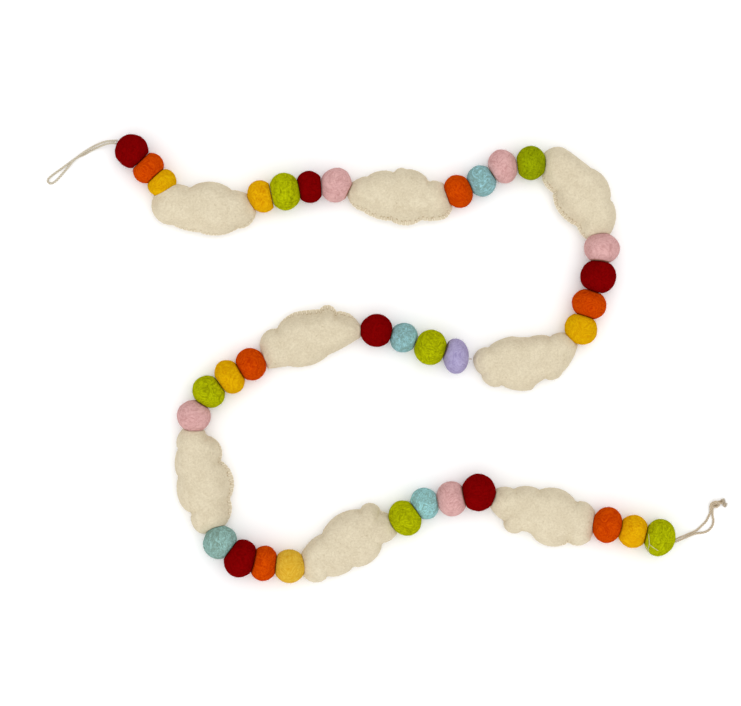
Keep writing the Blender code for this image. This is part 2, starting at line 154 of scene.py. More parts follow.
def ply_reach(angle, plies):
    """How far a twine's surface lies from its middle, as a share of its radius."""
    share = 2 * math.pi / plies
    from_crown = (angle + share / 2) % share - share / 2
    aside = PLY_OFFSET * math.sin(from_crown)
    return PLY_OFFSET * math.cos(from_crown) + math.sqrt(PLY_RADIUS**2 - aside**2)


def add_twine(shape, points, diameter, plies, turn_length, sides):
    """A closed tube of twisted plies along the points, with the painted shade of its grooves in a float
    layer.
    """
    groove = shape.verts.layers.float.get("groove") or shape.verts.layers.float.new("groove")
    rings = []
    travelled = 0.0
    aside = None
    for number, place in enumerate(points):
        before = points[max(0, number - 1)]
        after = points[min(len(points) - 1, number + 1)]
        along = (after - before).normalized()
        travelled += (place - before).length
        if aside is None:
            aside = along.orthogonal().normalized()
        aside = (aside - along * aside.dot(along)).normalized()
        other = along.cross(aside)
        twist = 2 * math.pi * travelled / (turn_length * MM)
        ring = []
        for side in range(sides):
            angle = 2 * math.pi * side / sides
            reach = ply_reach(angle, plies)
            radius = reach * diameter / 2 * PLY_SPREAD * MM
            turned = angle + twist
            spoke = aside * math.cos(turned) + other * math.sin(turned)
            vert = shape.verts.new(place + spoke * radius)
            # Painted shade: the deeper the groove between plies, the darker the twine there.
            vert[groove] = min(1.0, max(0.0, (1.0 - reach) / GROOVE_DEPTH))
            ring.append(vert)
        rings.append(ring)
    for lower, upper in zip(rings, rings[1:]):
        for side in range(sides):
            shape.faces.new((lower[side - 1], lower[side], upper[side], upper[side - 1]))
    for ring, place in ((rings[0], points[0]), (rings[-1], points[-1])):
        middle = shape.verts.new(place)
        for side in range(sides):
            shape.faces.new((ring[side - 1], ring[side], middle))


def finished_mesh(name, shape):
    """The closed shape as smooth-shaded mesh data, its faces turned outward."""
    bmesh.ops.remove_doubles(shape, verts=shape.verts, dist=0.002 * MM)
    bmesh.ops.recalc_face_normals(shape, faces=shape.faces)
    mesh = bpy.data.meshes.new(name)
    shape.to_mesh(mesh)
    shape.free()
    mesh.shade_smooth()
    return mesh


def add_piece(name, mesh, material):
    """A piece of this mesh in the scene, at the origin."""
    mesh.materials.append(material)
    piece = bpy.data.objects.new(name, mesh)
    bpy.context.scene.collection.objects.link(piece)
    return piece


def new_material(name, roughness, sheen=0.0, specular=0.15):
    """A material with its node tree and its principled shader."""
    material = bpy.data.materials.new(name)
    material.use_nodes = True
    shader = material.node_tree.nodes["Principled BSDF"]
    shader.inputs["Roughness"].default_value = roughness
    shader.inputs["Sheen Weight"].default_value = sheen
    shader.inputs["Sheen Roughness"].default_value = 0.6
    shader.inputs["Specular IOR Level"].default_value = specular
    return material, material.node_tree, shader


def add_node(tree, kind, inputs, **settings):
    """A new node. An input is set to a value, or linked to a socket or to the first one of a node."""
    node = tree.nodes.new(kind)
    for name, value in settings.items():
        setattr(node, name, value)
    for socket, value in inputs.items():
        if isinstance(value, bpy.types.Node):
            value = value.outputs[0]
        if isinstance(value, bpy.types.NodeSocket):
            tree.links.new(value, node.inputs[socket])
        else:
            node.inputs[socket].default_value = value
    return node


def twine_material(name, light, dark):
    """Spun cotton: fine fibres, and painted shade where the plies sink into each other."""
    material, tree, shader = new_material(name, 0.9)
    place = add_node(tree, "ShaderNodeTexCoord", {}).outputs["Object"]
    groove = add_node(tree, "ShaderNodeAttribute", {}, attribute_name="groove").outputs["Fac"]
    fibre = add_node(tree, "ShaderNodeTexNoise", {"Scale": 1900.0, "Detail": 3.0, "Vector": place})
    patch = add_node(tree, "ShaderNodeTexNoise", {"Scale": 150.0, "Vector": place})
    spread = add_node(tree, "ShaderNodeMath", {0: fibre, 1: 0.9, 2: -0.28}, operation="MULTIPLY_ADD")
    uneven = add_node(tree, "ShaderNodeMath", {0: patch, 1: 0.35, 2: spread}, operation="MULTIPLY_ADD")
    deep = add_node(
        tree, "ShaderNodeMath", {0: groove, 1: 0.75, 2: uneven}, operation="MULTIPLY_ADD", use_clamp=True
    )
    tone = add_node(tree, "ShaderNodeMix", {0: deep, 6: light, 7: dark}, data_type="RGBA")
    bump = add_node(tree, "ShaderNodeBump", {"Strength": 0.6, "Distance": 0.12 * MM, "Height": fibre})
    tree.links.new(tone.outputs[2], shader.inputs["Base Color"])
    tree.links.new(bump.outputs["Normal"], shader.inputs["Normal"])
    return material


def new_group(name, kind, inputs, outputs):
    """A node group with these sockets, its inputs as they come in, and the node that they leave by."""
    tree = bpy.data.node_groups.new(name, kind)
    for in_out, sockets in (("INPUT", inputs), ("OUTPUT", outputs)):
        for socket, value_kind in sockets.items():
            tree.interface.new_socket(socket, in_out=in_out, socket_type="NodeSocket" + value_kind)
    return tree, tree.nodes.new("NodeGroupInput").outputs, tree.nodes.new("NodeGroupOutput")


def finish_geometry(tree, geometry, material, made):
    """Ends a tree: its copies become real faces of one material."""
    real = add_node(tree, "GeometryNodeRealizeInstances", {0: geometry})
    finish = add_node(tree, "GeometryNodeSetMaterial", {"Geometry": real, "Material": material})
    tree.links.new(finish.outputs[0], made.inputs[0])


def fuzz_tree():
    """Geometry nodes that stand loose fibres on a surface and keep the surface with them."""
    inputs = {
        "Geometry": "Geometry", "Fibres per Square Metre": "Float", "Fibre Length": "Float",
        "Fibre Radius": "Float", "Least Lean": "Float", "Seed": "Int", "Material": "Material",
    }
    tree, given, made = new_group("fuzz", "GeometryNodeTree", inputs, {"Geometry": "Geometry"})
    # None grows on an underside, where it would reach through the sheet.
    normal = add_node(tree, "GeometryNodeInputNormal", {})
    split = add_node(tree, "ShaderNodeSeparateXYZ", {0: normal})
    upward = add_node(tree, "FunctionNodeCompare", {0: split.outputs[2], 1: -0.35}, operation="GREATER_THAN")
    scatter = add_node(
        tree, "GeometryNodeDistributePointsOnFaces",
        {
            "Mesh": given["Geometry"], "Density": given["Fibres per Square Metre"],
            "Seed": given["Seed"], "Selection": upward,
        },
    )

    # One fibre rises from the surface and bends over.
    length = given["Fibre Length"]
    middle, tip = (
        add_node(tree, "ShaderNodeVectorMath", {0: place, "Scale": length}, operation="SCALE")
        for place in ((0.0, 0.05, 0.62), (0.1, 0.55, 0.8))
    )
    bow = add_node(
        tree, "GeometryNodeCurveQuadraticBezier",
        {"Resolution": 2, "Start": (0.0, 0.0, 0.0), "Middle": middle, "End": tip},
    )
    ring = add_node(
        tree, "GeometryNodeCurvePrimitiveCircle", {"Resolution": 3, "Radius": given["Fibre Radius"]}
    )
    fibre = add_node(
        tree, "GeometryNodeCurveToMesh", {"Fill Caps": True, "Curve": bow, "Profile Curve": ring}
    )

    least = add_node(tree, "ShaderNodeCombineXYZ", {0: given["Least Lean"]})
    lean = add_node(
        tree, "FunctionNodeRandomValue",
        {"Min": least, "Max": (1.35, 0.0, 2 * math.pi), "Seed": given["Seed"]}, data_type="FLOAT_VECTOR",
    )
    turn = add_node(tree, "FunctionNodeEulerToRotation", {0: lean})
    placed = add_node(
        tree, "FunctionNodeRotateRotation", {0: scatter.outputs["Rotation"], 1: turn}, rotation_space="LOCAL"
    )
    size = add_node(
        tree, "FunctionNodeRandomValue", {2: 0.45, 3: 1.15, "Seed": given["Seed"]}, data_type="FLOAT"
    )
    copies = add_node(
        tree, "GeometryNodeInstanceOnPoints",
        {"Points": scatter, "Instance": fibre, "Rotation": placed, "Scale": size.outputs[1]},
    )
    joined = add_node(tree, "GeometryNodeJoinGeometry", {0: copies})
    tree.links.new(given["Geometry"], joined.inputs[0])
    finish_geometry(tree, joined, given["Material"], made)
    return tree


def run_nodes(piece, tree, values):
    """Gives the piece the plain mesh that the tree makes of it, and takes the modifier off again."""
    modifier = piece.modifiers.new("nodes", "NODES")
    modifier.node_group = tree
    for socket in tree.interface.items_tree:
        if socket.in_out == "INPUT" and socket.name in values:
            modifier[socket.identifier] = values[socket.name]
    graph = bpy.context.evaluated_depsgraph_get()
    mesh = bpy.data.meshes.new_from_object(piece.evaluated_get(graph), depsgraph=graph)
    piece.modifiers.remove(modifier)
    mesh.name = piece.name
    piece.data = mesh


def grow_fuzz(piece, fibres, seed):
    """Grows a piece's loose fibres: how many to a square millimetre, their length, radius and lean."""
    per_mm2, length, radius, least_lean = fibres
    values = {
        "Fibres per Square Metre": per_mm2 / MM**2,
        "Fibre Length": length * MM,
        "Fibre Radius": radius * MM,
        "Least Lean": least_lean,
        "Seed": seed,
        "Material": piece.data.materials[0],
    }
    run_nodes(piece, fuzz, values)


fuzz = fuzz_tree()
cord_cotton = twine_material("cord_cotton", CORD_LIGHT, CORD_DARK)
loop_cotton = twine_material("loop_cotton", LOOP_LIGHT, LOOP_DARK)


def make_cord(name, route, material, seed):
    """The finished twine of one stretch, and the points of its middle line."""
    points = smooth_route([seen_at(*point) for point in route], CORD_RING_STEP * MM)
    shape = bmesh.new()
    add_twine(shape, points, CORD_DIAMETER, CORD_PLIES, CORD_TURN, CORD_SIDES)
    piece = add_piece(name, finished_mesh(name, shape), material)
    grow_fuzz(piece, CORD_FUZZ, seed)
    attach(piece, "root")
    return piece, points


hanging_loop, loop_points = make_cord("hanging_loop_twine", HANGING_LOOP_ROUTE, loop_cotton, 11)
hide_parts("hanging_loop")


# End knot. Both strands are tied in one overhand knot, drawn tight, and cut off a little way past it.
# The cut ends have untwisted into brushes of loose fibre.
# The route is the middle between the two strands, which lie side by side in it.
KNOT_ROUTE = (
    (711.6, 509.2, 2.5), (711.3, 506.4, 2.9), (712.2, 504, 3.9), (714.4, 502.9, 4.9),
    (716.6, 502.7, 5.1), (718.2, 503.4, 4.2), (718, 504.8, 2.7), (716.4, 505.9, 1.9),
    (714.2, 505.9, 2), (713, 504.6, 1.6), (714.4, 503.5, 1.5), (716.8, 503.3, 2.2),
    (719, 502.5, 2.6), (721, 501.9, 2.5),
)
STRAND_GAP = 1.9
# Where each strand goes on from the knot, to its cut end.
FREE_END_ROUTES = (
    ((721.2, 501.3, 2.5), (722.9, 500.8, 2.2), (724.4, 500.4, 1.8)),
    ((721.4, 503, 2.5), (723.8, 504.2, 1.9), (726, 505.4, 1.4)),
)
# The brushes: their length, their fibres, how far before the cut they start, and half their width.
BRUSH_LENGTH = 5.2
BRUSH_FIBRES = 240
BRUSH_START = 3.4
BRUSH_WIDTH = 1.8
# A fibre fans out, rises and hangs by these shares of its length, and bows by this many millimetres.
BRUSH_FAN = 0.55
BRUSH_RISE = 0.3
BRUSH_HANG = 0.15
BRUSH_BOW = 0.25
BRUSH_FIBRE_RADIUS = 0.11
BRUSH_LEAST_HEIGHT = 0.12
# Little light comes into the knot's two hollows: where they lie, and how far each reaches in x and y.
KNOT_HOLLOWS = ((715.9, 505.2, 3), (720.8, 501.3, 3))
HOLLOW_REACH = (1.5, 0.7)
HOLLOW_DARKNESS = 1.5


def side_by_side(route, gap):
    """Two routes that keep a gap between them, one on either side of the given one."""
    left, right = [], []
    for number, place in enumerate(route):
        before = route[max(0, number - 1)]
        after = route[min(len(route) - 1, number + 1)]
        along = (after - before).normalized()
        aside = Vector((-along.y, along.x, 0.25)).normalized() * gap / 2
        left.append(place + aside)
        right.append(place - aside)
    return left, right


def add_brush(shape, end, before):
    """The loose fibres of a cut end: each a thin closed spike, bent a little, fanned out level."""
    along = (end - before).normalized()
    aside = Vector((-along.y, along.x, 0.0)).normalized()
    for number in range(BRUSH_FIBRES):
        draw = noise.random_unit_vector()
        fan = draw.x * BRUSH_FAN
        rise = draw.y * BRUSH_RISE
        start = end + (aside * draw.y + Vector((0.0, 0.0, draw.z))) * BRUSH_WIDTH * MM
        start -= along * BRUSH_START * MM
        reach = BRUSH_LENGTH * (0.65 + 0.35 * draw.z) * MM
        tip = start + (along + aside * fan + Vector((0.0, 0.0, rise - BRUSH_HANG))) * reach
        tip.z = max(tip.z, BRUSH_LEAST_HEIGHT * MM)
        bend = start.lerp(tip, 0.5) + aside * BRUSH_BOW * draw.z * MM
        radius = BRUSH_FIBRE_RADIUS * MM
        corners = []
        for place, width in ((start, radius), (bend, radius * 0.8)):
            for side in range(3):
                angle = 2 * math.pi * side / 3
                spoke = aside * math.cos(angle) + Vector((0.0, 0.0, math.sin(angle)))
                corners.append(shape.verts.new(place + spoke * width))
        point = shape.verts.new(tip)
        shape.faces.new(corners[:3])
        for side in range(3):
            following = (side + 1) % 3
            shape.faces.new((corners[side], corners[following], corners[3 + following], corners[3 + side]))
            shape.faces.new((corners[3 + side], corners[3 + following], point))


noise.seed_set(7)
knot_shape = bmesh.new()
knot_strands = side_by_side([seen_at(*point) for point in KNOT_ROUTE], STRAND_GAP * MM)
cord_ends = (UPPER_END_ROUTE[-1], LOWER_END_ROUTE[-1])
for strand, cord_end, free_end in zip(knot_strands, cord_ends, FREE_END_ROUTES):
    places = [seen_at(*cord_end), *strand[1:-1], *(seen_at(*point) for point in free_end)]
    strand_points = smooth_route(places, CORD_RING_STEP * MM)
    add_twine(knot_shape, strand_points, CORD_DIAMETER, CORD_PLIES, CORD_TURN, CORD_SIDES)
    add_brush(knot_shape, strand_points[-1], strand_points[-4])
groove = knot_shape.verts.layers.float["groove"]
# Painted shade: the twine is darkened in the knot's two hollows.
for vert in knot_shape.verts:
    for hollow_place in KNOT_HOLLOWS:
        apart = (vert.co - seen_at(*hollow_place)) / MM
        near = math.exp(-((apart.x / HOLLOW_REACH[0]) ** 2) - (apart.y / HOLLOW_REACH[1]) ** 2)
        vert[groove] = min(HOLLOW_DARKNESS, vert[groove] + HOLLOW_DARKNESS * near)
knot = add_piece("end_knot_twine", finished_mesh("end_knot_twine", knot_shape), cord_cotton)
grow_fuzz(knot, CORD_FUZZ, 14)
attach(knot, "root")
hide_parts("end_knot", "knot_tail_1", "knot_tail_2")

for end_name, route, end_length, seed in (
    ("end_cord_upper", UPPER_END_ROUTE, 0.055, 12),
    ("end_cord_lower", LOWER_END_ROUTE, 0.064, 13),
):
    end_cord, end_points = make_cord(end_name + "_twine", route, cord_cotton, seed)
    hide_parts(end_name)


# String at cloud 4. The lavender ball stands a little off its cloud, so a short bit of a thinner
# two-ply string shows between them.
STRING_AT_CLOUD_4_ROUTE = ((469.4, 358.9, 14.5), (470.4, 359, 13.2), (471.6, 359.1, 12))
STRING_DIAMETER = 1.0
STRING_TURN = 2.6
STRING_SIDES = 16
# Plies and ring step of this string, and of the thread ends further on.
THREAD_PLIES = 2
THIN_RING_STEP = 0.2

string_shape = bmesh.new()
string_points = smooth_route([seen_at(*point) for point in STRING_AT_CLOUD_4_ROUTE], THIN_RING_STEP * MM)
add_twine(string_shape, string_points, STRING_DIAMETER, THREAD_PLIES, STRING_TURN, STRING_SIDES)
string_name = "string_at_cloud_4_twine"
string = add_piece(string_name, finished_mesh(string_name, string_shape), cord_cotton)
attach(string, "root")
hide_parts("string_at_cloud_4")


# Balls. Thirty-four balls of dyed wool, each rolled in soapy water until it felts. They are threaded
# tight, so that neighbours press each other flat, and each rests on a small flat.
BALL_FLAT_DEPTH = 0.6
TOUCH_GAP = 0.3
BALLS_PER_CLOUD = 4
BALL_SUBDIVISIONS = 5
# How softly a ball's round face runs into the flat of a contact.
CONTACT_SOFTNESS = 0.2
# A ball sinks this much into the stuffing of a cloud.
CLOUD_GIVE = 1.1
# The felt has painted shade within about this distance of the plane where two neighbours meet.
CONTACT_SHADE = 0.5
# How much its surface wanders: broad lumps and small dents.
LUMP_SIZE = 13.0
LUMP_HEIGHT = 0.45
DENT_SIZE = 4.5
DENT_HEIGHT = 0.14
# Creases follow the lines where a noise crosses nought: their depth, their fineness and how they bend.
CREASE_SIZE = 8.0
CREASE_DEPTH = 0.28
CREASE_FINENESS = 7.0
CREASE_BEND = 3.0
CREASE_BEND_SIZE = 6.0
BALL_FUZZ = (0.12, 1.9, 0.028, 0.35)

# Colour, x, y, size square to the cord, size along it.
BALLS = (
    ("dark_red", 132, 151.2, 33.6, 34),
    ("orange", 148.6, 168.3, 33, 28.5),
    ("yellow", 162.1, 182.9, 30.4, 26.5),
    ("yellow_deep", 261.7, 196.5, 33.4, 28),
    ("lime", 285, 191.8, 37.6, 32.5),
    ("dark_red", 309.5, 187, 32.5, 28.5),
    ("pink", 336, 185.3, 34.8, 32),
    ("orange", 458.3, 191.5, 33.6, 29),
    ("blue", 481.3, 181, 32, 29),
    ("pink", 502.8, 166.5, 34.4, 29.5),
    ("lime_deep", 530.8, 163.1, 34.6, 30.4),
    ("pink", 601.5, 248.5, 36, 31),
    ("dark_red", 598, 276.5, 36, 34.5),
    ("orange", 588.8, 304.2, 35.4, 30),
    ("yellow", 580.9, 328.9, 33.6, 31.2),
    ("lavender", 455.8, 356.2, 35.5, 26),
    ("lime", 430.5, 347.5, 35.5, 32.5),
    ("blue", 403.8, 337.6, 30, 28.6),
    ("dark_red", 376.5, 330.5, 33.2, 32.6),
    ("orange", 251, 364.3, 33.2, 30.2),
    ("yellow", 229.8, 376.8, 36, 27.8),
    ("lime", 208.9, 391.8, 34.4, 31.2),
    ("pink", 194, 416, 34, 32),
    ("blue_deep", 220.3, 542.1, 35.2, 33),
    ("dark_red", 241, 558, 39, 33),
    ("orange", 264, 563.2, 35.8, 29),
    ("yellow_pale", 289.5, 566, 34.2, 32),
    ("lime", 405, 517.8, 37.2, 31),
    ("blue_pale", 424.8, 503.4, 32.2, 29),
    ("pink", 451.5, 498.6, 35.2, 31),
    ("dark_red", 478.2, 492.4, 37.6, 35),
    ("orange", 607, 524.7, 36.4, 30.2),
    ("yellow_deep", 633, 531.3, 33.2, 31),
    ("lime", 659.1, 537.4, 37.4, 31.8),
)
# Balls threaded askew, and how far each leans from square to the string, in radians.
BALL_LEANS = {16: 0.26}
# Where one ball rides up on the next, their common face is tipped by this much, and the round side of
# the first lies over the second if it is above nought. The key is the first ball of the two.
TIPS = {
    1: 0.11, 2: -0.08, 4: 0.10, 5: -0.04, 6: 0.05, 8: 0.08, 9: -0.05, 10: -0.06, 12: -0.13, 13: 0.12,
    14: -0.09, 16: -0.10, 17: -0.05, 18: -0.05, 20: 0.08, 21: -0.06, 22: 0.08, 24: 0.10, 25: 0.05,
    26: -0.05, 28: -0.05, 29: 0.05, 30: -0.08, 32: 0.06, 33: 0.05,
}
# Half the width of a common face between two balls.
FACE_RADIUS = 12.0
# Where the string enters and leaves each cloud, which is where a ball presses on it.
CLOUD_FACES = (
    ((167, 191), (250.5, 205)),
    ((347.8, 191), (447.5, 195.5)),
    ((545.3, 164), (600.5, 234.5)),
    ((570.5, 339), (472.5, 359)),
    ((360.3, 329), (264.4, 358.6)),
    ((195, 431.3), (217, 527.5)),
    ((304, 563), (392.5, 525)),
    ((493, 498), (593.2, 523)),
)
# Wool colours: the main one, the one of the darker fibres in it, which the painted crease shade also takes,
# and how much its creases and specks show.
WOOLS = {
    "dark_red": ((0.200, 0.0008, 0.0012), (0.12, 0.0004, 0.0006), 0.15, 0.2),
    "orange": ((0.58, 0.066, 0.0008), (0.40, 0.028, 0.0004), 0.25, 0.3),
    "yellow": ((0.68, 0.39, 0.002), (0.52, 0.23, 0.001), 0.2, 0.3),
    "yellow_deep": ((0.72, 0.40, 0.003), (0.54, 0.22, 0.001), 0.2, 0.3),
    "yellow_pale": ((0.67, 0.43, 0.045), (0.54, 0.28, 0.012), 0.2, 0.2),
    "lime": ((0.44, 0.48, 0.002), (0.21, 0.22, 0.001), 0.3, 0.8),
    "lime_deep": ((0.31, 0.37, 0.002), (0.15, 0.177, 0.001), 0.3, 0.8),
    "pink": ((0.66, 0.39, 0.375), (0.48, 0.25, 0.24), 0.25, 0.2),
    "blue": ((0.305, 0.575, 0.63), (0.18, 0.31, 0.29), 0.7, 0.6),
    "blue_pale": ((0.33, 0.655, 0.68), (0.20, 0.35, 0.32), 0.7, 0.6),
    "blue_deep": ((0.31, 0.53, 0.50), (0.18, 0.28, 0.235), 0.7, 0.6),
    "lavender": ((0.40, 0.355, 0.55), (0.27, 0.23, 0.41), 0.25, 0.2),
}


def wool_pattern():
    """The look that all felts share: cloudy mottling, swirls of fibre, small dark specks, and painted shade
    in creases and hollows.
    """
    inputs = {"Place": "Vector", "Wool": "Color", "Dark Fibres And Shade": "Color"}
    for name in ("Mottling", "Grain", "Swirls", "Creases", "Specks", "Hollow Shade"):
        inputs[name] = "Float"
    outputs = {"Colour": "Color", "Height": "Float"}
    tree, given, made = new_group("wool_pattern", "ShaderNodeTree", inputs, outputs)

    def noise_at(scale, detail, source, distortion=0.0):
        values = {"Scale": scale, "Detail": detail, "Distortion": distortion, "Vector": source}
        return add_node(tree, "ShaderNodeTexNoise", values)

    def math_of(operation, *terms, clamp=False):
        return add_node(tree, "ShaderNodeMath", dict(enumerate(terms)), operation=operation, use_clamp=clamp)

    def vector_of(operation, *terms):
        return add_node(tree, "ShaderNodeVectorMath", dict(enumerate(terms)), operation=operation)

    place = given["Place"]
    # The place is pushed about by a soft noise, so that the stretched noises below run in swirls.
    push = noise_at(55.0, 1.0, place)
    centred = vector_of("SUBTRACT", push.outputs["Color"], (0.5, 0.5, 0.5))
    pushed = vector_of("MULTIPLY_ADD", centred, (0.045, 0.045, 0.045), place)
    swirls = []
    for stretch in ((0.18, 1.0, 0.7), (1.0, 0.18, 0.7)):
        longer = vector_of("MULTIPLY", pushed, stretch)
        swirls.append(noise_at(500.0, 3.0, longer, 0.4))
    swirl = math_of("ADD", swirls[0], swirls[1])
    cloudy = noise_at(85.0, 3.0, place)
    grain = noise_at(560.0, 2.0, place)
    spots = noise_at(330.0, 1.0, place)

    # Creases are thin curved lines, along which a soft noise crosses its middle value. Along them the felt
    # gets painted shade and is sunk in the bump.
    creases = []
    for scale, thin in ((190.0, 15.0), (330.0, 9.0)):
        bend = noise_at(scale, 1.5, pushed, 0.8)
        away = math_of("ABSOLUTE", math_of("SUBTRACT", bend, 0.5))
        creases.append(math_of("SUBTRACT", 1.0, math_of("MULTIPLY", away, thin), clamp=True))
    crease = math_of("MULTIPLY_ADD", creases[1], 0.6, creases[0])
    shade = math_of("MULTIPLY_ADD", math_of("SUBTRACT", cloudy, 0.5), given["Mottling"], 0.3)
    shade = math_of("MULTIPLY_ADD", crease, given["Creases"], shade)
    shade = math_of("MULTIPLY_ADD", math_of("SUBTRACT", swirl, 1.0), given["Swirls"], shade)
    shade = math_of("MULTIPLY_ADD", math_of("SUBTRACT", grain, 0.5), given["Grain"], shade)
    spot = math_of("MULTIPLY", math_of("SUBTRACT", spots, 0.68, clamp=True), 9.0, clamp=True)
    shade = math_of("MULTIPLY_ADD", spot, given["Specks"], shade, clamp=True)
    tone = add_node(
        tree, "ShaderNodeMix", {0: shade, 6: given["Wool"], 7: given["Dark Fibres And Shade"]}, data_type="RGBA"
    )
    # Little light comes into a hollow, and what does is coloured by the wool round it.
    shadowed = add_node(
        tree, "ShaderNodeMix", {0: given["Hollow Shade"], 6: tone.outputs[2], 7: (0.50, 0.36, 0.20, 1.0)},
        data_type="RGBA", blend_type="MULTIPLY",
    )
    tree.links.new(shadowed.outputs[2], made.inputs["Colour"])
    height = math_of("MULTIPLY_ADD", cloudy, 0.6, swirl)
    height = math_of("MULTIPLY_ADD", grain, 0.5, height)
    height = math_of("MULTIPLY_ADD", crease, math_of("MULTIPLY", given["Creases"], -0.8), height)
    tree.links.new(height.outputs[0], made.inputs["Height"])
    return tree


def felt_material(name, wool, dark, bump_depth, sheen, shares):
    """Felt of one wool: shares are how much of each part of the pattern shows."""
    material, tree, shader = new_material(name, 1.0, sheen, 0.0)
    shader.inputs["Sheen Tint"].default_value = (*wool, 1.0)
    place = add_node(tree, "ShaderNodeTexCoord", {}).outputs["Object"]
    hollow = add_node(tree, "ShaderNodeAttribute", {}, attribute_name="hollow").outputs["Fac"]
    inputs = {"Place": place, "Wool": (*wool, 1.0), "Dark Fibres And Shade": (*dark, 1.0), "Hollow Shade": hollow, **shares}
    pattern = add_node(tree, "ShaderNodeGroup", inputs, node_tree=felt_pattern)
    height = pattern.outputs["Height"]
    bump = add_node(tree, "ShaderNodeBump", {"Strength": 0.7, "Distance": bump_depth * MM, "Height": height})
    tree.links.new(pattern.outputs["Colour"], shader.inputs["Base Color"])
    tree.links.new(bump.outputs["Normal"], shader.inputs["Normal"])
    return material


def ball_middle(number):
    _, x, y, across, _ = BALLS[number - 1]
    return on_sheet(x, y, across / 2 - BALL_FLAT_DEPTH)


def contacts(number):
    """The planes where a ball meets what is before and after it: a point and the outward direction."""
    middle = ball_middle(number)
    across, along = BALLS[number - 1][3:]
    planes = []
    for step in (-1, 1):
        cloud_place = number if step < 0 else number + 1
        other = number + step
        if not 1 <= other <= len(BALLS):
            continue
        if cloud_place % BALLS_PER_CLOUD == 0:
            face = CLOUD_FACES[cloud_place // BALLS_PER_CLOUD - 1][1 if step < 0 else 0]
            point = on_sheet(*face, across / 2 - BALL_FLAT_DEPTH)
            planes.append((point, (point - middle).normalized()))
            continue
        between = ball_middle(other) - middle
        own_half = along / 2 * MM
        other_half = BALLS[other - 1][4] / 2 * MM
        distance = between.length
        outward = between.normalized()
        to_plane = (distance**2 + own_half**2 - other_half**2) / (2 * distance)
        tip = TIPS.get(min(number, other), 0.0) * step
        point = middle + outward * (to_plane - tip * FACE_RADIUS / 2 * MM)
        planes.append((point, (outward - Vector((0.0, 0.0, tip))).normalized()))
    return planes


def softest_least(values, softness):
    """The least of the values, rounded off where two of them are nearly equal."""
    least = min(values)
    return least - softness * math.log(sum(math.exp((least - value) / softness) for value in values))


def ball_form(number):
    """The ball's middle, the turn that lays its short axis on the string, and its pressed-flat planes."""
    middle = ball_middle(number)
    planes = contacts(number)
    ends = [point for point, _ in planes]
    if len(planes) == 1:
        ends.insert(0 if number == 1 else 1, middle)
    direction = ends[1] - ends[0]
    turn = Matrix.Rotation(math.atan2(direction.y, direction.x) + BALL_LEANS.get(number, 0.0), 3, "Z")
    flats = [(Vector((middle.x, middle.y, 0.0)), Vector((0.0, 0.0, -1.0)))]
    for step, (point, outward) in zip(((1,) if number == 1 else (-1, 1)), planes):
        beside_cloud = (number + max(0, step)) % BALLS_PER_CLOUD == 0
        shift = CLOUD_GIVE if beside_cloud else -TOUCH_GAP / 2
        flats.append((point + outward * shift * MM, outward))
    return middle, turn, flats


def ball_reach(ray, facing, middle, flats, across, along, lumps=0.0):
    """How far the ball's surface is from its middle: ray is the direction as the ball lies untwisted."""
    stretch = math.sqrt((ray.x / along) ** 2 + (ray.y**2 + ray.z**2) / across**2)
    reaches = [0.5 * MM / stretch + lumps]
    for point, outward in flats:
        towards = facing.dot(outward)
        if towards > 0.1:
            reaches.append((point - middle).dot(outward) / towards)
    return softest_least(reaches, CONTACT_SOFTNESS * MM)


def make_ball(number):
    """Makes one felt ball, from its shape to its calls."""
    colour, _, _, across, along = BALLS[number - 1]
    middle, turn, flats = ball_form(number)
    shape = bmesh.new()
    bmesh.ops.create_icosphere(shape, subdivisions=BALL_SUBDIVISIONS, radius=1.0)
    offset = Vector((number * 3.7, number * 1.3, 0.0))
    hollow = shape.verts.layers.float.new("hollow")
    for vert in shape.verts:
        ray = vert.co.normalized()
        facing = turn @ ray
        place = facing * across / 2
        lumps = LUMP_HEIGHT * noise.noise(place / LUMP_SIZE + offset)
        lumps += DENT_HEIGHT * noise.noise(place / DENT_SIZE - offset)
        bend = place + Vector((0.0, 0.0, CREASE_BEND)) * noise.noise(place / CREASE_BEND_SIZE + offset)
        from_crease = abs(noise.noise(bend / CREASE_SIZE + offset))
        lumps -= CREASE_DEPTH * max(0.0, 1.0 - CREASE_FINENESS * from_crease)
        reach = ball_reach(ray, facing, middle, flats, across, along, lumps * MM)
        vert.co = middle + facing * reach
        # Painted shade near the planes where the ball meets its neighbours.
        for point, outward in flats[1:]:
            to_neighbour = (point - vert.co).dot(outward) / MM
            vert[hollow] = max(vert[hollow], math.exp(-((to_neighbour / CONTACT_SHADE) ** 2)))
    name = f"felt_ball_{number:02d}"
    ball = add_piece(name, finished_mesh(name, shape), felts[colour])
    grow_fuzz(ball, BALL_FUZZ, 100 + number)
    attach(ball, "root")
    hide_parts(f"ball_{number:02d}")


felt_pattern = wool_pattern()
felts = {}
for wool_name, (wool, dark, creases, specks) in WOOLS.items():
    wool_shares = {"Mottling": 0.45, "Grain": 0.8, "Swirls": 1.8, "Creases": creases, "Specks": specks}
    felts[wool_name] = felt_material("felt_" + wool_name, wool, dark, 0.6, 0.12, wool_shares)
for ball_number in range(1, len(BALLS) + 1):
    make_ball(ball_number)


# Clouds. Each is two cloud-shaped panels of cream felt, laid on each other, sewn together round the
# edge with blanket stitches and stuffed. Stuffing rolls the seam up on one side of some of them.
CREAM = (0.68, 0.605, 0.45)
CREAM_DARK = (0.48, 0.40, 0.27)
STITCH_PITCH = 4.5
SAMPLES_PER_STITCH = 6
SPINE_STEP = 1.8
ARC_SPACING = 0.8
# The panels' edges lie this high where the seam shows, and this much lower where it is turned under.
SEAM_HEIGHT = 11.2
SEAM_DROP = 3.6
SEAM_WANDER = 0.9
SEAM_WANDER_SIZE = 20.0
# The outline's points lie this far inside the outermost felt.
EDGE_INSET = 0.4
